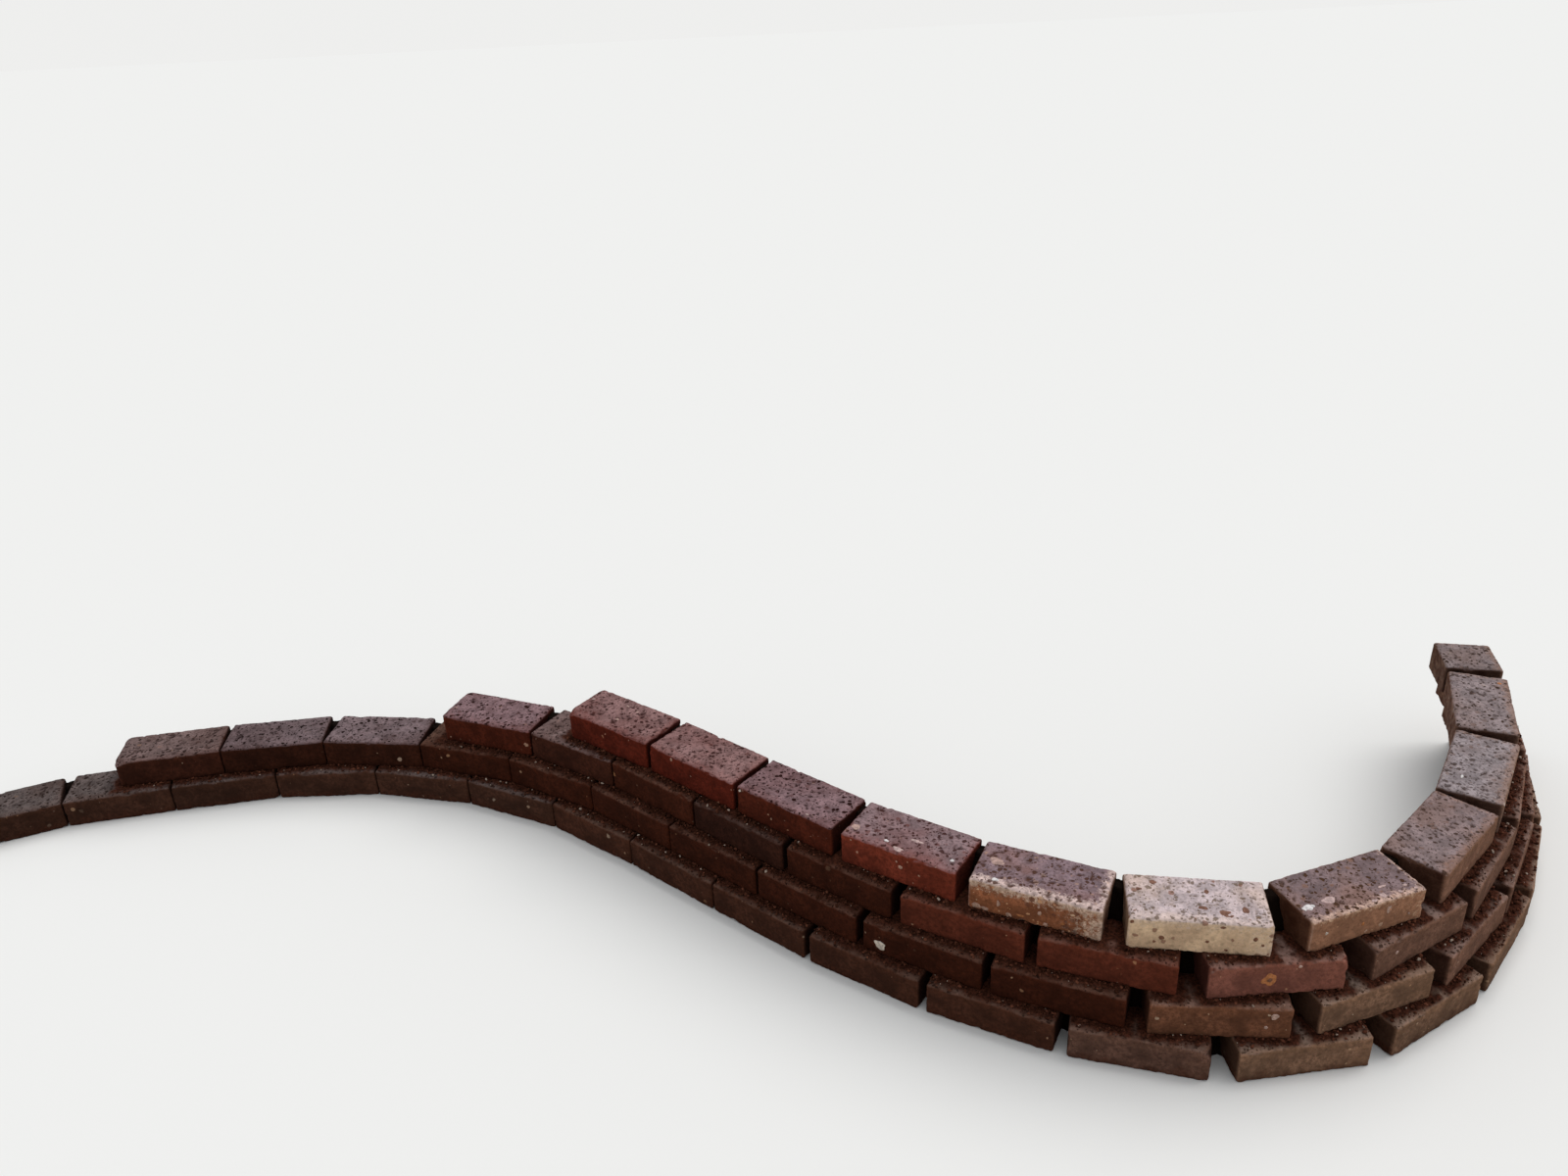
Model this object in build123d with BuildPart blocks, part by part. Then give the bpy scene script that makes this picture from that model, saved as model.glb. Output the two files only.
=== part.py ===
from build123d import *
import os

# A low garden edging wall, laid dry from sawn blocks of volcanic tuff.
# It stands on the ground in four courses. Each course is set back a little
# from the one below, and the wall follows one winding line in plan.
# Millimetres, +Z up, +X along the wall and +Y towards the bank that it holds.

# The blocks, as they are sawn and sold
block_length = 370
block_depth = 185
block_height = 105

# Wear of the arrises: the top ones take the weather and the feet
top_arris_width = 7
end_arris_width = 6
bed_arris_width = 3
free_corner_radius = 24

# How the courses are laid
setback_depth = 41
shortest_closer_length = 90

# Joints between blocks of a course, measured where two blocks come nearest
base_joint_width = 0.5
second_joint_width = 0.5
third_joint_width = 5
top_joint_width = 13

# How far in from the left end each course starts, over the length of a block
second_start_ratio = 1.51
third_start_ratio = 4.69
top_start_ratio = 6.03

# The top course sets the right end of the wall: its whole blocks and one cut one
top_whole_blocks = 10
top_closer_length = 185

# The base line, which is the front of the base course: tangent arcs and straights.
# Its last arc is drawn longer than the wall.
first_heading = 28
tail_radius = 1600
tail_turn = 20
tail_straight_length = 450
hollow_radius = 1700
hollow_turn = 49
middle_straight_length = 760
slow_radius = 3100
slow_turn = 19
bulge_radius = 1100
bulge_turn = 62
last_radius = 2100
quarter_turn = 90

# Corners knocked off in use: the block's name, the end where the corner is,
# and how far the break runs along the block, inwards and down
knocked_corners = {
    "base_12": ("right", 32, 44, 36),
    "second_01": ("left", 58, 52, 24),
    "third_08": ("right", 30, 24, 34),
    "third_09": ("left", 24, 46, 26),
    "top_01": ("left", 46, 44, 30),
}

# The courses from the ground up, and how many blocks go into one node
course_names = ("base", "second", "third", "top")
course_starts = [block_length * ratio for ratio in (0, second_start_ratio, third_start_ratio, top_start_ratio)]
course_joints = (base_joint_width, second_joint_width, third_joint_width, top_joint_width)
course_setbacks = [course * setback_depth for course in range(len(course_names))]
node_names = ("base_pair", "second_pair", "third_block", "top_block")
blocks_per_node = (2, 2, 1, 1)

with BuildLine() as base_line:
    first_tangent = Vector(1, 0).rotate(Axis.Z, first_heading)
    tail = JernArc((0, 0), first_tangent, tail_radius, -tail_turn)
    level = Line(tail @ 1, tail @ 1 + (tail % 1) * tail_straight_length)
    hollow = JernArc(level @ 1, level % 1, hollow_radius, -hollow_turn)
    middle = Line(hollow @ 1, hollow @ 1 + (hollow % 1) * middle_straight_length)
    slow = JernArc(middle @ 1, middle % 1, slow_radius, slow_turn)
    bulge = JernArc(slow @ 1, slow % 1, bulge_radius, bulge_turn)
    last = JernArc(bulge @ 1, bulge % 1, last_radius, quarter_turn)
line_parts = (tail, level, hollow, middle, slow, bulge, last)
part_lengths = [part.length for part in line_parts]


def front_point(station, setback):
    """The point square behind a station of the base line, as far back as a course stands."""
    part = line_parts[0]
    length = part_lengths[0]
    for next_part, next_length in zip(line_parts[1:], part_lengths[1:]):
        if station <= length:
            break
        station -= length
        part, length = next_part, next_length
    tangent = part % (station / length)
    return part @ (station / length) + Vector(-tangent.Y, tangent.X) * setback


def block_end(start, length, setback):
    """The station where a block ends whose front corners both stand on the course's line."""
    end = start + length
    for _ in range(6):
        chord = front_point(end, setback) - front_point(start, setback)
        end += length - chord.length
    return end


def block_seat(start, end, setback, height):
    """The plane of a block's bed, with its origin at the front left corner."""
    corner = front_point(start, setback)
    along = front_point(end, setback) - corner
    return Plane(origin=(corner.X, corner.Y, height), x_dir=along, z_dir=(0, 0, 1))


def gap_between(seat, length, next_seat):
    """How far two neighbours stand apart where their end faces come nearest."""
    direction = (seat.x_dir + next_seat.x_dir).normalized()
    gaps = []
    for inward in (end_arris_width, block_depth - end_arris_width):
        here = seat.from_local_coords(Vector(length, inward, 0))
        there = next_seat.from_local_coords(Vector(0, inward, 0))
        gaps.append((there - here).dot(direction))
    return min(gaps)


def next_start(start, end, joint, setback):
    """The station where the next block starts, one joint off the block from start to end."""
    seat = block_seat(start, end, setback, 0)
    length = (front_point(end, setback) - front_point(start, setback)).length
    station = end + joint
    for _ in range(8):
        next_seat = block_seat(station, block_end(station, length, setback), setback, 0)
        station += joint - gap_between(seat, length, next_seat)
    return station


def cut_length(left):
    """A whole block, or what closes the course: one cut block, or two equal ones."""
    if left >= block_length + shortest_closer_length:
        return block_length
    if left > block_length:
        return left / 2
    return left


def lay_course(start, joint, setback, wall_end):
    """Lay blocks from a station to the end of the wall. Returns where each starts and ends."""
    spans = []
    while wall_end - start > shortest_closer_length / 2:
        end = min(block_end(start, cut_length(wall_end - start), setback), wall_end)
        spans.append((start, end))
        start = next_start(start, end, joint, setback)
    return spans


def find_wall_end(start, joint, setback):
    """The station where the top course ends, after its whole blocks and its closer."""
    for _ in range(top_whole_blocks):
        end = block_end(start, block_length, setback)
        start = next_start(start, end, joint, setback)
    return block_end(start, top_closer_length, setback)


def break_plane(seat, length, end, along, inward, down):
    """The plane of a knocked corner, at the top of the block's front. It faces out."""
    corner_x = length if end == "right" else 0
    outward_x = 1 if end == "right" else -1
    corner = Vector(corner_x, 0, block_height)
    facing = Vector(outward_x / along, -1 / inward, 1 / down)
    start_of_break = seat.from_local_coords(corner - Vector(outward_x * along, 0, 0))
    normal = seat.from_local_coords(corner + facing) - seat.from_local_coords(corner)
    return Plane(origin=start_of_break, z_dir=normal)


def make_block(name, seat, length, free_end):
    """One sawn block with worn arrises, and with the corners of a free end worn round."""
    with BuildPart() as block:
        with BuildSketch(seat) as bed:
            Rectangle(length, block_depth, align=(Align.MIN, Align.MIN))
            chamfer(bed.vertices().group_by(Axis.X)[-1], end_arris_width)
            if free_end:
                fillet(bed.vertices().group_by(Axis.X)[0], free_corner_radius)
            else:
                chamfer(bed.vertices().group_by(Axis.X)[0], end_arris_width)
        extrude(amount=block_height)
        chamfer(block.faces().sort_by(Axis.Z)[-1].edges(), top_arris_width)
        chamfer(block.faces().sort_by(Axis.Z)[0].edges(), bed_arris_width)
        if name in knocked_corners:
            split(bisect_by=break_plane(seat, length, *knocked_corners[name]), keep=Keep.BOTTOM)
    return block.part


# Lay every course and make its blocks
wall_end = find_wall_end(course_starts[-1], course_joints[-1], course_setbacks[-1])
course_blocks = []
for course, (start, joint, setback) in enumerate(zip(course_starts, course_joints, course_setbacks)):
    blocks = []
    for number, (left, right) in enumerate(lay_course(start, joint, setback, wall_end), 1):
        seat = block_seat(left, right, setback, course * block_height)
        length = (front_point(right, setback) - front_point(left, setback)).length
        blocks.append(make_block(f"{course_names[course]}_{number:02d}", seat, length, number == 1))
    course_blocks.append(blocks)

# Centre the wall over the origin
boxes = [block.bounding_box() for blocks in course_blocks for block in blocks]
middle_x = (min(box.min.X for box in boxes) + max(box.max.X for box in boxes)) / 2
middle_y = (min(box.min.Y for box in boxes) + max(box.max.Y for box in boxes)) / 2
to_origin = Location((-middle_x, -middle_y, 0))

# Write each node: a block by itself in the upper courses, two neighbours in the lower ones
os.makedirs("parts", exist_ok=True)
for name, count, blocks in zip(node_names, blocks_per_node, course_blocks):
    for first in range(0, len(blocks), count):
        with BuildPart() as node:
            with Locations(to_origin):
                add(blocks[first:first + count])
        node.part.label = f"{name}_{first // count + 1:02d}"
        export_step(node.part, f"parts/{node.part.label}.step")
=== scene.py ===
import bmesh
import bpy
import math
import random
import numpy as np
from mathutils import Matrix, Vector, noise


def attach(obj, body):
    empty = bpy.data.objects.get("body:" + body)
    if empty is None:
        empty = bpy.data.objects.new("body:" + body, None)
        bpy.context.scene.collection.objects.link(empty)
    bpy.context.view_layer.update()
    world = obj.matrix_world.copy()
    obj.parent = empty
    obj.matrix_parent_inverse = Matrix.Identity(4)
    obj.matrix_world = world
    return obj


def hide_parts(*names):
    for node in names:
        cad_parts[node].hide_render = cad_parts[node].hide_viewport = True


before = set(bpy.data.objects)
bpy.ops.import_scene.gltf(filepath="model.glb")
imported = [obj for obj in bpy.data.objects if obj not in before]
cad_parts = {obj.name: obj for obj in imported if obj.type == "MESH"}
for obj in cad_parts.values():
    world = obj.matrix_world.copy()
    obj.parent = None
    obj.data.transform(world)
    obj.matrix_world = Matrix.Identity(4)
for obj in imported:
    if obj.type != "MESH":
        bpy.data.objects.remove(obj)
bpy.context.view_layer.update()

# The camera is held by hand 2.7 m above the foot of the wall, in front of its
# straight middle. It looks down on the wall, with the picture slightly turned.
camera_place = Vector((0.190, -3.190, 2.676))
camera_pitch = math.radians(26.46)
camera_turn = math.radians(-0.34)
camera_roll = math.radians(-2.75)

camera_data = bpy.data.cameras.new("garden_camera")
camera_data.sensor_width = 36
camera_data.lens = 28.5
camera_data.clip_end = 200
camera = bpy.data.objects.new("garden_camera", camera_data)
bpy.context.collection.objects.link(camera)
looking = Matrix.Rotation(camera_turn, 4, "Z") @ Matrix.Rotation(math.pi / 2 - camera_pitch, 4, "X")
camera.matrix_world = Matrix.Translation(camera_place) @ looking @ Matrix.Rotation(camera_roll, 4, "Z")
bpy.context.scene.camera = camera
bpy.context.scene.view_settings.view_transform = "Standard"

# The light is a pale even sky and one very soft lamp, high behind the wall.
# The tops are well lit and the fronts stand in open shade, as in the garden.
sky_strength = 0.64
lamp_strength = 1.65
lamp_spread = math.radians(50)
towards_lamp = Vector((0.42, 0.36, 0.83))
backdrop_white = (0.86, 0.86, 0.85, 1)
sky_white = (0.96, 0.98, 1.0, 1)


def link(tree, source, target):
    tree.links.new(source, target)


def seen_directly(tree):
    """1 for what the camera, a mirror or glass shows, and 0 for light on the wall."""
    path = tree.nodes.new("ShaderNodeLightPath")
    total = path.outputs["Is Camera Ray"]
    for ray in ("Is Glossy Ray", "Is Transmission Ray"):
        join = tree.nodes.new("ShaderNodeMath")
        join.operation = "MAXIMUM"
        link(tree, total, join.inputs[0])
        link(tree, path.outputs[ray], join.inputs[1])
        total = join.outputs["Value"]
    return total


world = bpy.data.worlds.new("soft_studio")
bpy.context.scene.world = world
world.use_nodes = True
tree = world.node_tree
tree.nodes.clear()
backdrop = tree.nodes.new("ShaderNodeBackground")
backdrop.inputs["Color"].default_value = backdrop_white
sky = tree.nodes.new("ShaderNodeBackground")
sky.inputs["Color"].default_value = sky_white
sky.inputs["Strength"].default_value = sky_strength
either = tree.nodes.new("ShaderNodeMixShader")
world_out = tree.nodes.new("ShaderNodeOutputWorld")
link(tree, seen_directly(tree), either.inputs["Fac"])
link(tree, sky.outputs["Background"], either.inputs[1])
link(tree, backdrop.outputs["Background"], either.inputs[2])
link(tree, either.outputs["Shader"], world_out.inputs["Surface"])

lamp_data = bpy.data.lights.new("soft_lamp", "SUN")
lamp_data.energy = lamp_strength
lamp_data.angle = lamp_spread
lamp_data.color = (1.0, 0.98, 0.95)
lamp = bpy.data.objects.new("soft_lamp", lamp_data)
bpy.context.collection.objects.link(lamp)
lamp.rotation_mode = "QUATERNION"
lamp.rotation_quaternion = towards_lamp.to_track_quat("Z", "Y")

# The floor is a plain pale sheet. The camera sees it pale, and it throws no
# more light back on the fronts than the ground round such a wall does.
floor_half = 60.0
floor_seen = (0.83, 0.83, 0.82, 1)
floor_thrown = (0.52, 0.52, 0.50, 1)

floor_mesh = bmesh.new()
bmesh.ops.create_grid(floor_mesh, x_segments=1, y_segments=1, size=floor_half)
floor_data = bpy.data.meshes.new("floor")
floor_mesh.to_mesh(floor_data)
floor_mesh.free()
floor = bpy.data.objects.new("floor", floor_data)
bpy.context.collection.objects.link(floor)
floor_paint = bpy.data.materials.new("floor_paint")
floor_paint.use_nodes = True
tree = floor_paint.node_tree
shade = tree.nodes.new("ShaderNodeMix")
shade.data_type = "RGBA"
shade.inputs["A"].default_value = floor_thrown
shade.inputs["B"].default_value = floor_seen
link(tree, seen_directly(tree), shade.inputs["Factor"])
link(tree, shade.outputs["Result"], tree.nodes["Principled BSDF"].inputs["Base Color"])
tree.nodes["Principled BSDF"].inputs["Roughness"].default_value = 0.9
tree.nodes["Principled BSDF"].inputs["Specular IOR Level"].default_value = 0.0
floor_data.materials.append(floor_paint)

# Base course: whole blocks sawn from volcanic tuff, a soft porous stone, laid
# dry and end to end on the ground. Rain and spade have splashed them with soil,
# knocked their arrises round and left dirt on the ledge under the next course.
base_cell = 0.0075
base_arris = 0.0085
base_pits = 0.003
base_seed = 100
sharpest_arris = 0.0025
roundest_arris = 0.024
arris_patch = 0.036
skin_depth = 0.0014
dent_width = 0.12
dent_depth = 0.0012
grit_width = 0.016
grit_depth = 0.0006
corner_grit_depth = 0.0020
hole_width = 0.015
full_wear_and_highlight_depth = 0.005
ledge_reach = 0.042
ledge_soil = 0.006
heap_width = 0.022
bleached_width = 0.05
right_end_margin = 0.012
# Painted shade on the end faces in the joints: where it starts behind the front, its fade and its strength
painted_shade_behind = 0.003
painted_shade_fade = 0.010
painted_shade_amount = 0.95


def course_nodes(prefix):
    """The names of a course's CAD nodes, from the left end of the wall."""
    return sorted(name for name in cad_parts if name.startswith(prefix))


def block_seats(node, before):
    """The blocks of a CAD node: the place and turn of each, its size and its face planes.

    The length of a block runs nearest the way of the block before it, or along its longest side."""
    cad = bmesh.new()
    cad.from_mesh(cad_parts[node].data)
    bmesh.ops.remove_doubles(cad, verts=cad.verts, dist=1e-6)
    # Split the mesh into its separate blocks, from the left
    left = set(cad.faces)
    islands = []
    while left:
        island, edge_of_island = set(), [next(iter(left))]
        while edge_of_island:
            face = edge_of_island.pop()
            if face in island:
                continue
            island.add(face)
            edge_of_island += [f for e in face.edges for f in e.link_faces if f not in island]
        left -= island
        islands.append(island)
    islands.sort(key=lambda island: max(v.co.x + 0.3 * v.co.y for f in island for v in f.verts))
    # Turn each block along the wall, and measure it
    seats = list(before)
    for island in islands:
        facing = {}
        for face in island:
            if abs(face.normal.z) < 0.01:
                key = (round(face.normal.x, 2), round(face.normal.y, 2))
                facing.setdefault(key, [0.0, face.normal.copy()])[0] += face.calc_area()
        sides = [normal for _, normal in sorted(facing.values(), key=lambda entry: entry[0])[-4:]]
        ways = [Vector((-normal.y, normal.x, 0)).normalized() for normal in sides]
        ways = [-way if way.x < 0 else way for way in ways]
        along = max(ways, key=seats[-1][0].to_3x3().col[0].dot) if seats else ways[-1]
        turn = Matrix.Rotation(math.atan2(along.y, along.x), 4, "Z")
        corners = np.array([turn.inverted() @ v.co for f in island for v in f.verts])
        low, high = corners.min(0), corners.max(0)
        place = turn @ Matrix.Translation((low + high) / 2)
        back = place.inverted()
        planes = []
        for face in island:
            inside = back.to_3x3() @ face.normal
            planes.append([*inside, inside.dot(back @ face.verts[0].co)])
        seats.append((place, high - low, np.array(planes)))
    cad.free()
    return seats[len(before):]


def course_seats(prefix):
    """The blocks of a whole course, from the left end of the wall."""
    seats = []
    for name in course_nodes(prefix):
        seats += block_seats(name, seats)
    return seats


def sawn_grid(size, cell):
    """A box of small even faces, as it leaves the saw."""
    box = bmesh.new()
    bmesh.ops.create_cube(box, size=1.0, matrix=Matrix.Diagonal((*size, 1)))
    for axis in range(3):
        cuts = max(int(round(size[axis] / cell)) - 1, 1)
        ranks = [e for e in box.edges if abs((e.verts[0].co - e.verts[1].co)[axis]) > size[axis] * 0.9]
        bmesh.ops.subdivide_edges(box, edges=ranks, cuts=cuts, use_grid_fill=True)
    return box


def field(points, wavelength, shift, octaves=2):
    """Smooth random values between about -1 and 1, one for each point."""
    scaled = points / wavelength + shift
    return np.array([noise.fractal(p, 1.0, 2.0, octaves) for p in scaled.tolist()])


def moved(points, place):
    """Points carried by a matrix."""
    return points @ np.array(place.to_3x3()).T + np.array(place.translation)


def off_course(points, seats):
    """How far each point lies outside the plan of a course. Over its blocks the distance is negative."""
    nearest = np.full(len(points), 1.0)
    for place, size, _ in seats:
        local = np.abs(moved(points, place.inverted()))
        nearest = np.minimum(nearest, np.maximum(local[:, 0] - size[0] / 2, local[:, 1] - size[1] / 2))
    return nearest


def worn_block(box, seat, arris, pits, above, meets, seed):
    """Wear a sawn grid into an old block, inside the CAD solid. Returns what its material reads.

    meets says whether another block stands at the left and at the right end."""
    place, size, planes = seat
    points = np.array([v.co for v in box.verts])
    shift = np.array([seed * 7.31, seed * 3.17, seed * 5.77])
    half = size / 2
    # Round the arrises, more in some places than in others
    patches = field(points, arris_patch, shift)
    sharper_below = 0.6 + 0.4 * np.clip(0.5 + points[:, 2] / half[2], 0, 1)
    radius = arris * sharper_below * (1 + 0.8 * patches + 3.0 * np.clip(patches - 0.32, 0, 1))
    radius = np.clip(radius, sharpest_arris, roundest_arris)[:, None]
    core = np.clip(points, radius - half, half - radius)
    out = points - core
    normal = out / np.linalg.norm(out, axis=1)[:, None]
    points = core + normal * radius
    # Keep inside the face planes of the CAD solid
    over = points @ planes[:, :3].T - planes[:, 3]
    deepest = over.argmax(1)
    push = np.clip(over[np.arange(len(points)), deepest], 0, None)
    points -= planes[deepest, :3] * push[:, None]
    # Dent and pit the faces
    corner = np.clip(1 - np.abs(normal).max(1), 0, 0.42) / 0.42
    upward = np.clip(normal[:, 2] * 2 - 1, 0, 1)
    broad = field(points, dent_width, shift + 11) * dent_depth
    fine_depth = grit_depth + grit_depth * upward + corner_grit_depth * corner
    fine = field(points, grit_width, shift + 23, 3) * fine_depth
    holes = field(points, hole_width, shift + 41, 2)
    depth = np.clip((holes - 0.42) / 0.2, 0, 1) * (0.3 + 0.7 * upward)
    inward = np.clip(-skin_depth + broad + fine, None, 0) - depth * pits
    points += normal * inward[:, None]
    # Heap soil on the ledge, at the foot of the course above, and on the side of the bank
    standing = moved(points, place)
    heaps = field(standing, heap_width, shift + 57, 3)
    near = np.clip(1 - off_course(standing, above) / ledge_reach, 0, 1)
    soil = np.clip(near * 2.4 - 0.35 + 0.8 * heaps, 0, 1) * np.clip(near * 6, 0, 1) * upward
    standing[:, 2] += soil * ledge_soil * (0.5 + heaps)
    from_bank = np.clip(normal[:, 1] * 2 - 1, 0, 1) * np.clip(0.45 + 0.8 * heaps, 0, 0.8)
    soil = np.maximum(soil, from_bank)
    for vert, point in zip(box.verts, standing):
        vert.co = point
    # Bleach the front arrises and the right end, and paint shade on the end faces in the joints
    from_right_end = (half[0] - points[:, 0]) * (0.24 + 0.66 * upward) + right_end_margin
    from_arris = np.minimum(half[1] + points[:, 1] + half[2] - points[:, 2], from_right_end)
    left_end = np.clip(-normal[:, 0] * 2 - 1, 0, 1) * meets[0]
    right_end = np.clip(normal[:, 0] * 2 - 1, 0, 1) * meets[1]
    behind_front = np.clip((half[1] + points[:, 1] - painted_shade_behind) / painted_shade_fade, 0, 1)
    return {
        "pore": depth * (1 - soil),
        # The arris value drives both wear and a painted highlight
        "wear_and_highlight": np.clip(corner * 1.2 + push / full_wear_and_highlight_depth, 0, 1),
        "soil": soil,
        "edge": np.clip(1 - from_arris / bleached_width, 0, 1),
        # Painted shade: the end faces in the joints are darkened
        "painted_joint_shade": (left_end + right_end) * behind_front * painted_shade_amount,
        "shade": np.full(len(points), random.Random(seed).random()),
    }


def node(tree, kind, **inputs):
    """A shader node with its inputs set: a value goes on the socket, and a socket is linked to it."""
    made = tree.nodes.new(kind)
    for name, value in inputs.items():
        socket = made.inputs[name.replace("_", " ")]
        if hasattr(value, "node"):
            link(tree, value, socket)
        else:
            socket.default_value = value
    return made


def ramp(tree, source, low, high):
    """0 below low and 1 above high, with a smooth step between them."""
    step = node(tree, "ShaderNodeMapRange", Value=source, From_Min=low, From_Max=high)
    step.interpolation_type = "SMOOTHSTEP"
    return step.outputs["Result"]


def blend(tree, factor, a, b, mode="MIX"):
    """Mix two colours, each a socket or a plain colour."""
    mixed = tree.nodes.new("ShaderNodeMix")
    mixed.data_type = "RGBA"
    mixed.blend_type = mode
    for value, name in ((factor, "Factor"), (a, "A"), (b, "B")):
        if hasattr(value, "node"):
            link(tree, value, mixed.inputs[name])
        elif name == "Factor":
            mixed.inputs[name].default_value = value
        else:
            mixed.inputs[name].default_value = (*value, 1)
    return mixed.outputs["Result"]


def sums(tree, operation, a, b):
    """Join two values, each a socket or a number, by a sum such as MULTIPLY or ADD."""
    made = tree.nodes.new("ShaderNodeMath")
    made.operation = operation
    for index, value in enumerate((a, b)):
        if hasattr(value, "node"):
            link(tree, value, made.inputs[index])
        else:
            made.inputs[index].default_value = value
    return made.outputs["Value"]


def stored(tree, attribute):
    """A value that a block's mesh keeps at each vertex."""
    made = tree.nodes.new("ShaderNodeAttribute")
    made.attribute_name = attribute
    return made.outputs["Fac"]


def clouds(tree, place, scale, low, high, detail=3.0, roughness=0.6):
    """Soft patches from 0 to 1."""
    made = node(tree, "ShaderNodeTexNoise", Vector=place, Scale=scale, Detail=detail, Roughness=roughness)
    return ramp(tree, made.outputs["Fac"], low, high)


def bits(tree, place, scale, share, size):
    """Bits set in the stone, in a share of its cells: a mask, and a random value for each bit."""
    cells = node(tree, "ShaderNodeTexVoronoi", Vector=place, Scale=scale)
    pick = node(tree, "ShaderNodeSeparateColor", Color=cells.outputs["Color"])
    chosen = ramp(tree, pick.outputs["Red"], 1 - share, 1 - share + 0.02)
    limit = sums(tree, "ADD", sums(tree, "MULTIPLY", pick.outputs["Green"], size * 0.7), size * 0.3)
    inside = ramp(tree, sums(tree, "SUBTRACT", limit, cells.outputs["Distance"]), -0.02, 0.07)
    return sums(tree, "MULTIPLY", chosen, inside), pick.outputs["Blue"]


soil_dark = (0.025, 0.0078, 0.0045)
soil_light = (0.096, 0.030, 0.0165)
stain_on_fronts = (1.0, 0.94, 0.76)
splash_ragged = 0.04
splash_end = 0.055
splash_full = 0.02
splash_amount = 0.6
pore_darkness = 0.88
relief_depth = 0.003


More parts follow.
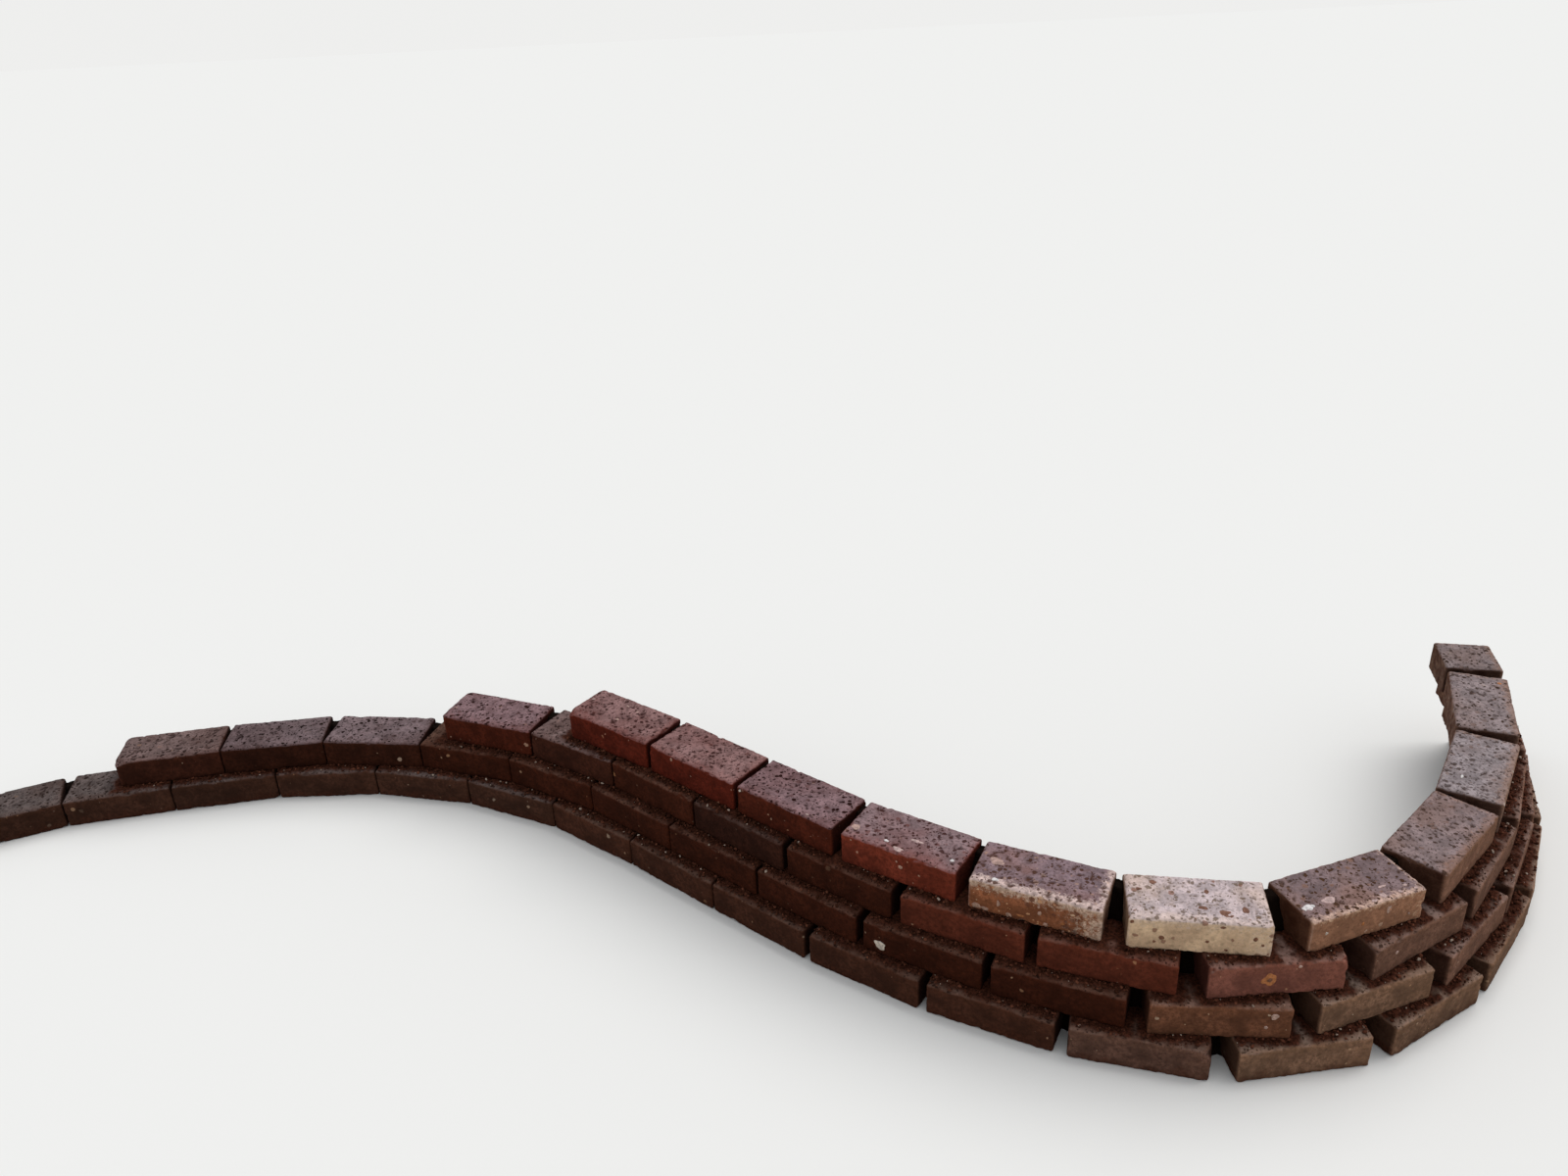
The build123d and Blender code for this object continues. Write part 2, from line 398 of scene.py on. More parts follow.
def tuff(name, front, top, pale, pale_share=0.06, bloom=None, bloom_amount=0.12, bloom_from=0.70,
         pore_amount=1.0, dark=None, dark_share=0.30, dark_amount=0.5, mottle=1.0):
    """Weathered tuff: mottled paste, bits of pale and dark stone, pores, a dusty top, and arrises lightened
    partly by wear and partly by a painted highlight.
    """
    stone = bpy.data.materials.new(name)
    stone.use_nodes = True
    tree = stone.node_tree
    shader = tree.nodes["Principled BSDF"]
    shader.inputs["Roughness"].default_value = 0.95
    shader.inputs["Specular IOR Level"].default_value = 0.06
    spot = tree.nodes.new("ShaderNodeTexCoord")
    place = spot.outputs["Object"]
    swirl = node(tree, "ShaderNodeTexNoise", Vector=place, Scale=70.0, Detail=2.0)
    warp = node(tree, "ShaderNodeVectorMath")
    warp.operation = "MULTIPLY_ADD"
    link(tree, swirl.outputs["Color"], warp.inputs[0])
    warp.inputs[1].default_value = (0.012, 0.012, 0.012)
    link(tree, place, warp.inputs[2])
    warped = warp.outputs["Vector"]
    facing = node(tree, "ShaderNodeSeparateXYZ", Vector=spot.outputs["Normal"])
    upward = ramp(tree, facing.outputs["Z"], 0.35, 0.85)

    def toned(colour, factor):
        return tuple(min(c * factor, 1) for c in colour)

    # The sawn paste, and the dust that lies on the tops
    patchy = clouds(tree, place, 15, 0.32, 0.70, 5)
    paste = blend(tree, patchy, toned(front, 1.1 - 0.46 * mottle), toned(front, 1.1 + 0.46 * mottle))
    grain = sums(tree, "MULTIPLY", clouds(tree, place, 80, 0.40, 0.66), 0.75 * mottle)
    paste = blend(tree, grain, paste, toned(front, 0.55))
    sawn = sums(tree, "MULTIPLY", clouds(tree, place, 240, 0.40, 0.62, 2), 0.5 * mottle)
    paste = blend(tree, sawn, paste, toned(front, 0.60))
    dust = blend(tree, clouds(tree, place, 22, 0.34, 0.66, 4), toned(top, 0.78), toned(top, 1.24))
    speckle = sums(tree, "MULTIPLY", clouds(tree, place, 105, 0.48, 0.64, 2), 0.58)
    dust = blend(tree, speckle, dust, toned(top, 0.5))
    thin = sums(tree, "MULTIPLY", clouds(tree, place, 6.5, 0.42, 0.68, 2), 0.32)
    dust = blend(tree, thin, dust, front)
    paste = blend(tree, upward, paste, tuple((f + t) * 0.26 for f, t in zip(front, top)))
    covered = sums(tree, "MULTIPLY", upward, clouds(tree, place, 40, 0.20, 0.48, 4, 0.7))
    colour = blend(tree, covered, paste, dust)
    # A chalky bloom by the arrises, and the rub on their edges, which is partly wear and partly a painted
    # highlight
    wider_on_top = sums(tree, "ADD", sums(tree, "MULTIPLY", upward, 0.35), 1.0)
    bloomed = sums(tree, "MULTIPLY", stored(tree, "edge"), wider_on_top)
    bloomed = sums(tree, "ADD", bloomed, clouds(tree, place, 75, 0.25, 0.75, 6, 0.8))
    bloomed = sums(tree, "MULTIPLY", ramp(tree, bloomed, bloom_from, bloom_from + 0.6), bloom_amount)
    bloom = bloom or toned(front, 2.2)
    chalk = blend(tree, clouds(tree, place, 95, 0.35, 0.65, 4, 0.7), toned(bloom, 0.72), toned(bloom, 1.2))
    chalk = blend(tree, sums(tree, "SUBTRACT", 1.0, upward), chalk, stain_on_fronts, "MULTIPLY")
    colour = blend(tree, bloomed, colour, chalk)
    # The arrises are lightened partly as wear and partly as a painted highlight
    rub_and_highlight = sums(tree, "MULTIPLY", stored(tree, "wear_and_highlight"), clouds(tree, place, 60, 0.25, 0.65))
    colour = blend(tree, sums(tree, "MULTIPLY", rub_and_highlight, 0.40), colour, toned(bloom, 0.95))
    # Bits of dark and pale stone, and pores
    dark_mask, _ = bits(tree, warped, 42, dark_share, 0.42)
    colour = blend(tree, sums(tree, "MULTIPLY", dark_mask, dark_amount), colour, dark or toned(front, 0.7))
    pale_large, hue = bits(tree, warped, 36, pale_share, 0.34)
    pale_small, _ = bits(tree, warped, 105, pale_share * 0.5, 0.42)
    off_tops = sums(tree, "SUBTRACT", 1.0, sums(tree, "MULTIPLY", upward, 0.7))
    pale_mask = sums(tree, "MULTIPLY", sums(tree, "MAXIMUM", pale_large, pale_small), off_tops)
    pale_colour = blend(tree, hue, pale, (pale[0] * 0.9, pale[1] * 0.62, pale[2] * 0.42))
    colour = blend(tree, sums(tree, "MULTIPLY", pale_mask, 0.85), colour, pale_colour)
    pore_pit, _ = bits(tree, warped, 30, 0.45, 0.26)
    pore_large, _ = bits(tree, warped, 54, 0.56, 0.40)
    pore_middling, _ = bits(tree, warped, 88, 0.40, 0.42)
    pore_small, _ = bits(tree, warped, 150, 0.32, 0.42)
    pores = sums(tree, "MAXIMUM", sums(tree, "MAXIMUM", pore_large, pore_small),
                 sums(tree, "MAXIMUM", pore_middling, pore_pit))
    more_on_top = sums(tree, "ADD", sums(tree, "MULTIPLY", upward, 0.75 * pore_amount), 0.22 * pore_amount)
    pores = sums(tree, "MAXIMUM", sums(tree, "MULTIPLY", pores, more_on_top), stored(tree, "pore"))
    colour = blend(tree, sums(tree, "MULTIPLY", pores, pore_darkness), colour, toned(front, 0.22))
    # Painted shade in the joints, soil on the ledges, and splashes near the ground
    uneven = sums(tree, "ADD", sums(tree, "MULTIPLY", patchy, 0.3), 0.75)
    # The end faces in the joints are darkened here: painted shade
    painted_joint_shade = sums(tree, "MULTIPLY", stored(tree, "painted_joint_shade"), uneven)
    colour = blend(tree, painted_joint_shade, colour, (front[0] * 0.16, front[1] * 0.11, front[2] * 0.10))
    soil_grain = blend(tree, clouds(tree, place, 130, 0.30, 0.74, 3), soil_dark, soil_light)
    colour = blend(tree, stored(tree, "soil"), colour, soil_grain)
    height = node(tree, "ShaderNodeSeparateXYZ", Vector=place).outputs["Z"]
    ragged = sums(tree, "MULTIPLY", clouds(tree, place, 18, 0.2, 0.8), splash_ragged)
    splashes = ramp(tree, sums(tree, "ADD", height, ragged), splash_end, splash_full)
    colour = blend(tree, sums(tree, "MULTIPLY", splashes, splash_amount), colour, soil_grain)
    tint = sums(tree, "ADD", sums(tree, "MULTIPLY", stored(tree, "shade"), 0.20), 0.90)
    colour = blend(tree, 1.0, colour, tint, "MULTIPLY")
    link(tree, colour, shader.inputs["Base Color"])
    # Grain and pores in relief
    relief = sums(tree, "MULTIPLY", clouds(tree, place, 420, 0.2, 0.8), 0.22)
    lumps = sums(tree, "MULTIPLY", clouds(tree, place, 100, 0.2, 0.8, 4, 0.7), 0.7)
    relief = sums(tree, "ADD", relief, lumps)
    relief = sums(tree, "SUBTRACT", relief, pores)
    bump = node(tree, "ShaderNodeBump", Height=relief, Distance=relief_depth, Strength=0.85)
    link(tree, bump.outputs["Normal"], shader.inputs["Normal"])
    return stone


def lay_stones(prefix, prefix_above, cell, arris, pits, course_stones, first_seed):
    """Dress each CAD node of a course with its worn blocks."""
    above = course_seats(prefix_above) if prefix_above else []
    laid = 0
    seats = []
    for name in course_nodes(prefix):
        joined = bmesh.new()
        used = []
        node_seats = block_seats(name, seats)
        seats += node_seats
        for seat in node_seats:
            stone = course_stones[laid]
            if stone not in used:
                used.append(stone)
            box = sawn_grid(seat[1], cell)
            meets = (laid > 0, laid < len(course_stones) - 1)
            values = worn_block(box, seat, arris, pits, above, meets, first_seed + laid)
            for face in box.faces:
                face.material_index = used.index(stone)
                face.smooth = True
            block = bpy.data.meshes.new("block")
            box.to_mesh(block)
            box.free()
            for key, numbers in values.items():
                attribute = block.attributes.new(key, "FLOAT", "POINT")
                attribute.data.foreach_set("value", numbers.astype(np.float32))
            joined.from_mesh(block)
            bpy.data.meshes.remove(block)
            laid += 1
        data = bpy.data.meshes.new(name + "_stone")
        joined.to_mesh(data)
        joined.free()
        for stone in used:
            data.materials.append(stone)
        piece = bpy.data.objects.new(name + "_stone", data)
        bpy.context.collection.objects.link(piece)
        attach(piece, "root")
        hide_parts(name)


def dress(mesh, name, material):
    """Keep a bmesh as a piece of the wall with one material."""
    data = bpy.data.meshes.new(name)
    mesh.to_mesh(data)
    mesh.free()
    data.materials.append(material)
    data.shade_smooth()
    piece = bpy.data.objects.new(name, data)
    bpy.context.collection.objects.link(piece)
    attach(piece, "root")


def loose_dirt(name, dark, light, pebble):
    """Soil, stone dust and grit: each crumb has its own shade, from dark soil up to a few pale pebbles."""
    dirt = bpy.data.materials.new(name)
    dirt.use_nodes = True
    tree = dirt.node_tree
    shader = tree.nodes["Principled BSDF"]
    shader.inputs["Roughness"].default_value = 0.97
    shader.inputs["Specular IOR Level"].default_value = 0.05
    place = tree.nodes.new("ShaderNodeTexCoord").outputs["Object"]
    shade = stored(tree, "shade")
    colour = blend(tree, sums(tree, "POWER", shade, 1.6), dark, light)
    colour = blend(tree, ramp(tree, shade, 0.958, 0.964), colour, pebble)
    colour = blend(tree, sums(tree, "MULTIPLY", clouds(tree, place, 210, 0.4, 0.66), 0.6), colour, dark)
    link(tree, colour, shader.inputs["Base Color"])
    grains = clouds(tree, place, 330, 0.2, 0.8)
    bump = node(tree, "ShaderNodeBump", Height=grains, Distance=0.0015, Strength=0.8)
    link(tree, bump.outputs["Normal"], shader.inputs["Normal"])
    return dirt


joint_worth_filling = 0.003
soil_toe_depth = 0.095
soil_slope_depth = 0.040
soil_heel_depth = 0.016
soil_front_rough = 0.010
soil_heel_rough = 0.006
soil_off_bed = 0.001
soil_below_top = 0.018
soil_top_rough = 0.008
soil_overlap = 0.006
soil_cuts = (3, 9, 7)
soil_shade = 0.25


def joint_soil(name, seats, material, seed):
    """Soil from the bank packed in the open joints of a course, sloping down to the front. Its near-black
    colour is partly real soil and partly painted shade.
    """
    soil = bmesh.new()
    shades = soil.verts.layers.float.new("shade")
    for number, (left, right) in enumerate(zip(seats, seats[1:])):
        (left_place, left_size, _), (right_place, right_size, _) = left, right
        half = left_size / 2
        ways = [place.to_3x3() @ Vector((1, 0, 0)) for place in (left_place, right_place)]
        along = (ways[0] + ways[1]).normalized()
        widest = 0
        for inward in (-half[1], half[1]):
            here = left_place @ Vector((half[0], inward, 0))
            there = right_place @ Vector((-right_size[0] / 2, inward, 0))
            widest = max(widest, (there - here).dot(along))
        if widest < joint_worth_filling:
            continue
        plug = bmesh.new()
        bmesh.ops.create_cube(plug, size=1.0)
        for axis, cuts in enumerate(soil_cuts):
            ranks = [e for e in plug.edges if abs((e.verts[0].co - e.verts[1].co)[axis]) > 0.9]
            bmesh.ops.subdivide_edges(plug, edges=ranks, cuts=cuts, use_grid_fill=True)
        for vert in plug.verts:
            across, inward, up = vert.co + Vector((0.5, 0.5, 0.5))
            rough = noise.fractal(vert.co * 2.3 + Vector((seed + number, 0, 0)), 1.0, 2.0, 3)
            front = -half[1] + soil_toe_depth + soil_slope_depth * up + soil_front_rough * rough
            y = front + (half[1] - soil_heel_depth - soil_heel_rough * rough - front) * inward
            filled = 2 * half[2] - soil_below_top + soil_top_rough * rough
            z = -half[2] + soil_off_bed + filled * up
            here = left_place @ Vector((half[0], y, z))
            there = right_place @ Vector((-right_size[0] / 2, y, z))
            width = max((there - here).dot(along), 0) + soil_overlap
            vert.co = (here + there) / 2 + along * (across - 0.5) * width
        chunk = bpy.data.meshes.new("plug")
        plug.to_mesh(chunk)
        plug.free()
        soil.from_mesh(chunk)
        bpy.data.meshes.remove(chunk)
    for vert in soil.verts:
        vert[shades] = soil_shade
    bmesh.ops.recalc_face_normals(soil, faces=soil.faces)
    dress(soil, name, material)


# Soil in the open joints, coloured near-black: partly real soil, partly painted shade
packed_soil_and_painted_shade = loose_dirt("packed_soil_and_painted_shade", (0.005, 0.003, 0.002), (0.024, 0.009, 0.006), (0.5, 0.4, 0.3))
splashed = tuff("splashed_tuff", front=(0.058, 0.024, 0.015), top=(0.118, 0.092, 0.088),
                pale=(0.34, 0.26, 0.20), pale_share=0.035)
brown_base = tuff("brown_base_tuff", front=(0.066, 0.024, 0.014), top=(0.120, 0.074, 0.058),
                  pale=(0.36, 0.26, 0.19), pale_share=0.04)
ochre = tuff("ochre_tuff", front=(0.226, 0.124, 0.077), top=(0.220, 0.155, 0.125),
             pale=(0.52, 0.40, 0.29), pale_share=0.06)
loam = tuff("loam_tuff", front=(0.124, 0.062, 0.044), top=(0.150, 0.098, 0.078),
            pale=(0.46, 0.34, 0.25), pale_share=0.05)
base_stones = [splashed] * 6 + [brown_base] * 5 + [loam] + [ochre] * 6
lay_stones("base_pair", "second_pair", base_cell, base_arris, base_pits, base_stones, base_seed)
joint_soil("base_joint_soil", course_seats("base_pair"), packed_soil_and_painted_shade, base_seed)

# Second course: the same blocks, set back by 41 mm so that the wall leans into
# the bank. Darker stone, dusty only at the left where its tops lie open.
second_cell = 0.007
second_arris = 0.008
second_pits = 0.003
second_seed = 200
second_crumbs = 160
crumb_foot = 0.002
crumb_edge = 0.008
crumb_inside = 0.006
smallest_crumb = 0.0016
crumb_range = 0.0044
heap_height = 0.0035
full_turn = 6.3
whole_block = 0.370
bit_sunk = 0.0020
bit_stand = 0.0010
wide_bit = 0.04
bit_thickness = 0.0036
bit_stain_on_fronts = (0.97, 0.88, 0.74)


def ledge_crumbs(name, above, below, material, seed, per_block):
    """Crumbs of soil and stone on a ledge, most of them at the foot of the course above."""
    joined = bmesh.new()
    for number, (place, size, _) in enumerate(above):
        rng = random.Random(seed + number)
        heap = bmesh.new()
        shades = heap.verts.layers.float.new("shade")
        for _ in range(per_block):
            out = crumb_foot + (ledge_reach - crumb_edge) * rng.random() ** 1.7
            radius = smallest_crumb + crumb_range * rng.random() ** 2.2
            shade = rng.random() ** 1.3
            spin = Matrix.Rotation(rng.uniform(0, full_turn), 4, "Z")
            spin = spin @ Matrix.Rotation(rng.uniform(0, full_turn), 4, "X")
            scales = [rng.uniform(0.7, 1.4), rng.uniform(0.7, 1.3), rng.uniform(0.55, 1.0), 1]
            stretch = Matrix.Diagonal(scales)
            settled = -size[2] / 2 + radius * 0.35 + heap_height * (1 - out / ledge_reach)
            spot = place @ Vector((rng.uniform(-size[0] / 2, size[0] / 2), -size[1] / 2 - out, settled))
            if off_course(np.array([spot]), below)[0] > -crumb_inside:
                continue
            turned = Matrix.Translation(spot) @ spin @ stretch
            made = bmesh.ops.create_icosphere(heap, subdivisions=1, radius=radius, matrix=turned)
            for vert in made["verts"]:
                vert[shades] = shade
        chunk = bpy.data.meshes.new("heap")
        heap.to_mesh(chunk)
        heap.free()
        joined.from_mesh(chunk)
        bpy.data.meshes.remove(chunk)
    dress(joined, name, material)


def set_bits(name, seats, rows):
    """Larger bits of other stone that the saw has cut through, set flush in the blocks' faces.

    A row holds the block's number, its face, how far along and across it the bit lies, and the
    bit's width, height and stone."""
    for stone in sorted({row[-1] for row in rows}):
        joined = bmesh.new()
        for number, face, along, across, width, height, kind in rows:
            if kind != stone:
                continue
            place, size, _ = seats[number - 1]
            sunk = bit_sunk - bit_stand * (1 - width / wide_bit)
            if face == "top":
                spot = Vector((along - whole_block / 2, across - size[1] / 2, size[2] / 2 - sunk))
                lie = Matrix.Identity(4)
            else:
                spot = Vector((along - whole_block / 2, sunk - size[1] / 2, across - size[2] / 2))
                lie = Matrix.Rotation(math.pi / 2, 4, "X")
            shape = Matrix.Diagonal((width / 2, height / 2, bit_thickness / 2, 1))
            made = bmesh.ops.create_uvsphere(joined, u_segments=24, v_segments=8, radius=1.0)
            for vert in made["verts"]:
                outline = noise.noise(Vector((vert.co.x * 1.3, vert.co.y * 1.3, number + along * 40)))
                vert.co.x *= 1 + 0.5 * outline
                vert.co.y *= 1 + 0.5 * outline
            setting = place @ Matrix.Translation(spot) @ lie @ shape
            bmesh.ops.transform(joined, matrix=setting, verts=made["verts"])
        dress(joined, f"{name}_{stone}_bits", bit_stones[stone])


def bit_stone(name, colour):
    """A cut bit of other stone, mottled and a little rough. On the fronts it is a little stained."""
    stone = bpy.data.materials.new(name)
    stone.use_nodes = True
    tree = stone.node_tree
    shader = tree.nodes["Principled BSDF"]
    shader.inputs["Roughness"].default_value = 0.9
    shader.inputs["Specular IOR Level"].default_value = 0.1
    spot = tree.nodes.new("ShaderNodeTexCoord")
    place = spot.outputs["Object"]
    darker = tuple(c * 0.6 for c in colour)
    mottled = blend(tree, clouds(tree, place, 120, 0.35, 0.65), colour, darker)
    facing = node(tree, "ShaderNodeSeparateXYZ", Vector=spot.outputs["Normal"])
    off_tops = ramp(tree, facing.outputs["Z"], 0.85, 0.35)
    stained = blend(tree, off_tops, mottled, bit_stain_on_fronts, "MULTIPLY")
    link(tree, stained, shader.inputs["Base Color"])
    grains = clouds(tree, place, 260, 0.2, 0.8)
    bump = node(tree, "ShaderNodeBump", Height=grains, Distance=0.001, Strength=0.6)
    link(tree, bump.outputs["Normal"], shader.inputs["Normal"])
    return stone


dirt = loose_dirt("ledge_dirt", (0.040, 0.013, 0.007), (0.200, 0.072, 0.042), (0.55, 0.44, 0.36))
bit_stones = {
    "blush": bit_stone("blush_bit", (0.50, 0.335, 0.295)),
    "cream": bit_stone("cream_bit", (0.58, 0.42, 0.40)),
    "honey": bit_stone("honey_bit", (0.52, 0.22, 0.10)),
    "umber": bit_stone("umber_bit", (0.24, 0.12, 0.085)),
    "white": bit_stone("white_bit", (0.76, 0.72, 0.72)),
}

fresh_umber = tuff("fresh_umber_tuff", front=(0.054, 0.016, 0.009), top=(0.200, 0.136, 0.130),
                   pale=(0.44, 0.30, 0.22), pale_share=0.04)
dusty_umber = tuff("dusty_umber_tuff", front=(0.039, 0.0112, 0.0058), top=(0.182, 0.131, 0.139),
                   pale=(0.40, 0.30, 0.23), pale_share=0.035, pore_amount=1.15)
umber = tuff("umber_tuff", front=(0.049, 0.0120, 0.0055), top=(0.120, 0.062, 0.045),
             pale=(0.40, 0.26, 0.17), pale_share=0.035)
brown = tuff("brown_tuff", front=(0.195, 0.098, 0.066), top=(0.215, 0.148, 0.130),
             pale=(0.55, 0.42, 0.31), pale_share=0.05, mottle=0.8)
loam_red = tuff("loam_red_tuff", front=(0.178, 0.072, 0.039), top=(0.185, 0.115, 0.092),
                pale=(0.52, 0.38, 0.27), pale_share=0.05)
second_stones = [fresh_umber] + [dusty_umber] * 2 + [umber] * 7 + [loam_red, ochre] + [brown] * 4
lay_stones("second_pair", "third_block", second_cell, second_arris, second_pits, second_stones, second_seed)
second_seats = course_seats("second_pair")
joint_soil("second_joint_soil", second_seats, packed_soil_and_painted_shade, second_seed)
ledge_crumbs("base_ledge_crumbs", second_seats, course_seats("base_pair"), dirt, second_seed, second_crumbs)
set_bits("second", second_seats, [
    (9, "front", 0.056, 0.037, 0.036, 0.034, "white"),
    (11, "front", 0.320, 0.078, 0.018, 0.022, "cream"),
    (11, "front", 0.302, 0.040, 0.010, 0.010, "cream"),
])

# Third course: thirteen blocks that begin where the bank gets higher. Red and
# dark brown stone, with the joints opening into wedges round the bulge.
third_cell = 0.0055
third_arris = 0.008
third_pits = 0.003
third_seed = 300
third_crumbs = 160

red = tuff("red_tuff", front=(0.108, 0.0160, 0.0080), top=(0.262, 0.150, 0.146),
           pale=(0.46, 0.28, 0.21), pale_share=0.05)
sooty = tuff("sooty_tuff", front=(0.040, 0.0130, 0.0078), top=(0.105, 0.066, 0.056),
             pale=(0.38, 0.28, 0.22), pale_share=0.03)
maroon = tuff("maroon_tuff", front=(0.118, 0.028, 0.015), top=(0.170, 0.084, 0.064),
              pale=(0.48, 0.32, 0.23), pale_share=0.04, mottle=0.8)
russet = tuff("russet_tuff", front=(0.222, 0.082, 0.058), top=(0.215, 0.136, 0.114),
              pale=(0.56, 0.40, 0.28), pale_share=0.05, mottle=0.7)
dull_red = tuff("dull_red_tuff", front=(0.074, 0.0145, 0.0068), top=(0.232, 0.146, 0.157),
                pale=(0.46, 0.32, 0.25), pale_share=0.05, pore_amount=1.15)
third_stones = [dull_red, fresh_umber, umber, sooty, umber, maroon, maroon, russet] + [brown] * 5
lay_stones("third_block", "top_block", third_cell, third_arris, third_pits, third_stones, third_seed)
third_seats = course_seats("third_block")
joint_soil("third_joint_soil", third_seats, packed_soil_and_painted_shade, third_seed)
ledge_crumbs("second_ledge_crumbs", third_seats, second_seats, dirt, third_seed, third_crumbs)
set_bits("third", third_seats, [
    (8, "front", 0.163, 0.053, 0.036, 0.036, "honey"),
    (8, "front", 0.163, 0.053, 0.017, 0.017, "umber"),
    (8, "front", 0.239, 0.092, 0.010, 0.009, "cream"),
    (9, "front", 0.084, 0.061, 0.010, 0.012, "cream"),
])

# Top course: eleven blocks that carry no load and take the weather. Their tops
# are dusty and pitted, their arrises light, and two of them are cut from paler stone.
top_cell = 0.005
top_arris = 0.0075
top_pits = 0.0035
top_seed = 400
top_crumbs = 160

rust = tuff("rust_tuff", front=(0.180, 0.034, 0.018), top=(0.268, 0.182, 0.192),
            pale=(0.56, 0.38, 0.30), pale_share=0.06)
amber = tuff("amber_tuff", front=(0.338, 0.121, 0.056), top=(0.262, 0.184, 0.205),
             pale=(0.74, 0.50, 0.33), pale_share=0.26, bloom=(0.72, 0.545, 0.505), bloom_amount=0.95,
             bloom_from=0.80, dark=(0.085, 0.036, 0.030))
sand = tuff("sand_tuff", front=(0.800, 0.540, 0.345), top=(0.620, 0.510, 0.525),
            pale=(0.76, 0.64, 0.55), pale_share=0.06, bloom=(0.80, 0.63, 0.58), bloom_amount=0.7,
            bloom_from=0.85, pore_amount=0.95, dark=(0.28, 0.130, 0.085), dark_share=0.22,
            dark_amount=0.8, mottle=0.45)
tawny = tuff("tawny_tuff", front=(0.335, 0.162, 0.094), top=(0.222, 0.158, 0.164),
             pale=(0.62, 0.46, 0.36), pale_share=0.06, bloom=(0.66, 0.45, 0.37), bloom_amount=1.0,
             bloom_from=1.10, pore_amount=1.2, mottle=0.6)
drab = tuff("drab_tuff", front=(0.230, 0.115, 0.074), top=(0.250, 0.188, 0.190),
            pale=(0.60, 0.46, 0.38), pale_share=0.05, bloom=(0.27, 0.145, 0.100), bloom_amount=0.5,
            bloom_from=0.9, mottle=0.7)
ash = tuff("ash_tuff", front=(0.215, 0.122, 0.088), top=(0.292, 0.246, 0.256), pale=(0.60, 0.52, 0.46),
           pale_share=0.04, bloom=(0.30, 0.180, 0.135), bloom_amount=0.6, bloom_from=0.9,
           pore_amount=0.9, mottle=0.7)
grey = tuff("grey_tuff", front=(0.200, 0.110, 0.078), top=(0.268, 0.214, 0.218),
            pale=(0.58, 0.48, 0.42), pale_share=0.05, bloom=(0.28, 0.165, 0.120), bloom_amount=0.6,
            bloom_from=0.9, pore_amount=1.15, mottle=0.7)
top_stones = [red, red, dull_red, rust, amber, sand, tawny, drab, ash, grey, grey]
lay_stones("top_block", "", top_cell, top_arris, top_pits, top_stones, top_seed)
top_seats = course_seats("top_block")
joint_soil("top_joint_soil", top_seats, packed_soil_and_painted_shade, top_seed)
ledge_crumbs("third_ledge_crumbs", top_seats, third_seats, dirt, top_seed, top_crumbs)
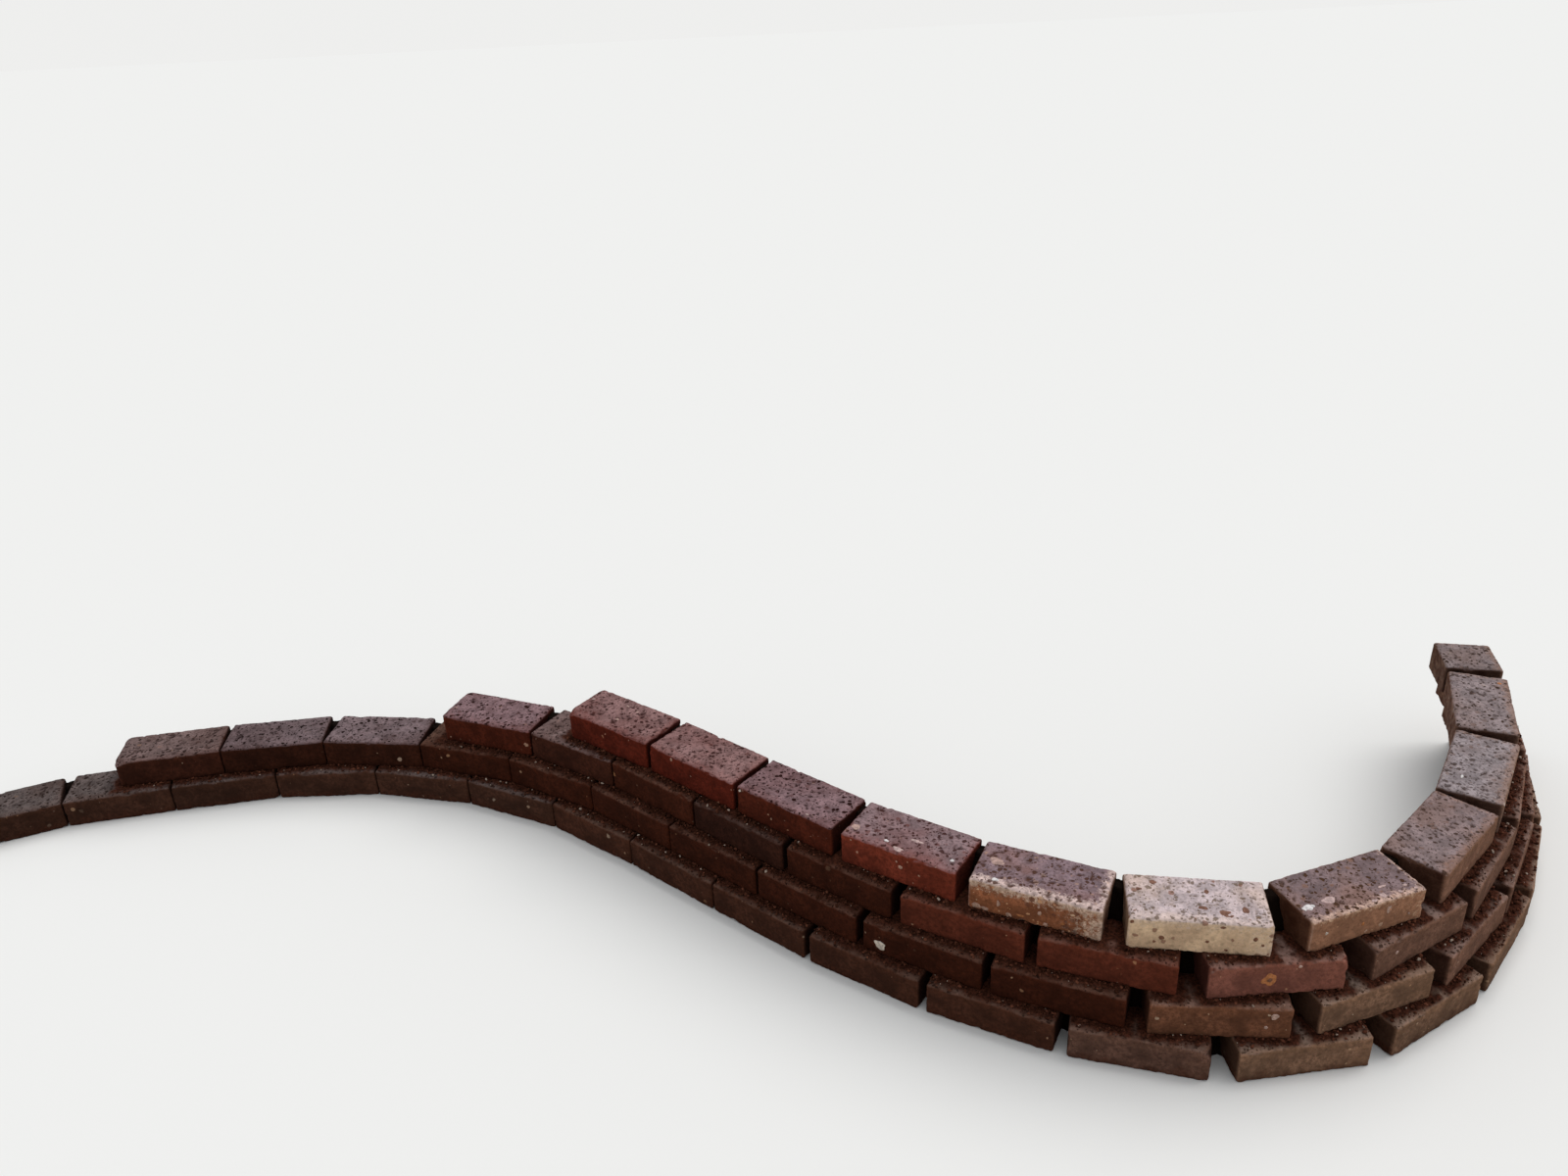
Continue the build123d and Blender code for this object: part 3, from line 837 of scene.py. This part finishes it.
set_bits("top", top_seats, [
    (1, "top", 0.025, 0.111, 0.012, 0.010, "cream"),
    (1, "top", 0.160, 0.142, 0.016, 0.013, "blush"),
    (1, "top", 0.187, 0.061, 0.014, 0.010, "blush"),
    (1, "top", 0.214, 0.133, 0.012, 0.009, "blush"),
    (2, "front", 0.105, 0.090, 0.011, 0.012, "blush"),
    (3, "front", 0.016, 0.092, 0.010, 0.009, "white"),
    (3, "top", 0.270, 0.016, 0.011, 0.008, "cream"),
    (4, "top", 0.025, 0.050, 0.032, 0.026, "blush"),
    (4, "top", 0.180, 0.020, 0.032, 0.020, "cream"),
    (4, "top", 0.215, 0.077, 0.036, 0.016, "cream"),
    (4, "top", 0.134, 0.037, 0.015, 0.010, "white"),
    (4, "top", 0.337, 0.050, 0.012, 0.012, "white"),
    (4, "front", 0.198, 0.059, 0.013, 0.013, "blush"),
    (5, "top", 0.054, 0.101, 0.042, 0.034, "blush"),
    (5, "top", 0.070, 0.024, 0.022, 0.015, "white"),
    (5, "front", 0.026, 0.016, 0.030, 0.017, "blush"),
    (5, "front", 0.050, 0.012, 0.020, 0.014, "blush"),
    (5, "front", 0.087, 0.042, 0.010, 0.018, "blush"),
    (5, "front", 0.118, 0.012, 0.018, 0.014, "blush"),
    (5, "front", 0.150, 0.020, 0.022, 0.008, "honey"),
    (5, "front", 0.179, 0.086, 0.014, 0.020, "umber"),
    (5, "front", 0.202, 0.045, 0.012, 0.014, "blush"),
    (5, "front", 0.199, 0.066, 0.008, 0.010, "blush"),
    (5, "front", 0.220, 0.012, 0.014, 0.012, "blush"),
    (5, "front", 0.266, 0.030, 0.010, 0.010, "honey"),
    (5, "front", 0.290, 0.050, 0.015, 0.013, "umber"),
    (6, "top", 0.252, 0.041, 0.040, 0.030, "umber"),
    (6, "top", 0.196, 0.058, 0.026, 0.016, "umber"),
    (6, "top", 0.304, 0.060, 0.018, 0.024, "umber"),
    (6, "top", 0.080, 0.150, 0.024, 0.018, "umber"),
    (6, "top", 0.038, 0.120, 0.016, 0.012, "umber"),
    (6, "top", 0.214, 0.122, 0.014, 0.018, "umber"),
    (6, "front", 0.089, 0.044, 0.015, 0.014, "umber"),
    (6, "front", 0.010, 0.092, 0.012, 0.010, "umber"),
    (6, "front", 0.071, 0.029, 0.008, 0.008, "umber"),
    (6, "front", 0.205, 0.040, 0.009, 0.008, "umber"),
    (6, "front", 0.240, 0.091, 0.014, 0.009, "umber"),
    (6, "front", 0.254, 0.016, 0.009, 0.008, "umber"),
    (6, "front", 0.324, 0.058, 0.012, 0.013, "umber"),
    (6, "front", 0.344, 0.040, 0.008, 0.009, "umber"),
    (7, "top", 0.031, 0.057, 0.046, 0.024, "white"),
    (7, "top", 0.097, 0.060, 0.040, 0.028, "cream"),
    (7, "front", 0.248, 0.070, 0.016, 0.024, "cream"),
    (7, "front", 0.250, 0.070, 0.008, 0.014, "honey"),
    (7, "front", 0.050, 0.054, 0.009, 0.009, "white"),
    (7, "front", 0.168, 0.048, 0.009, 0.013, "honey"),
    (7, "front", 0.320, 0.034, 0.006, 0.006, "cream"),
    (7, "top", 0.205, 0.014, 0.020, 0.010, "cream"),
    (7, "top", 0.240, 0.022, 0.022, 0.018, "cream"),
    (7, "top", 0.292, 0.018, 0.012, 0.010, "cream"),
    (7, "top", 0.322, 0.034, 0.016, 0.009, "cream"),
    (7, "top", 0.340, 0.014, 0.013, 0.009, "cream"),
    (7, "top", 0.262, 0.052, 0.024, 0.008, "cream"),
    (9, "top", 0.096, 0.127, 0.020, 0.009, "white"),
    (10, "top", 0.324, 0.031, 0.016, 0.012, "honey"),
])
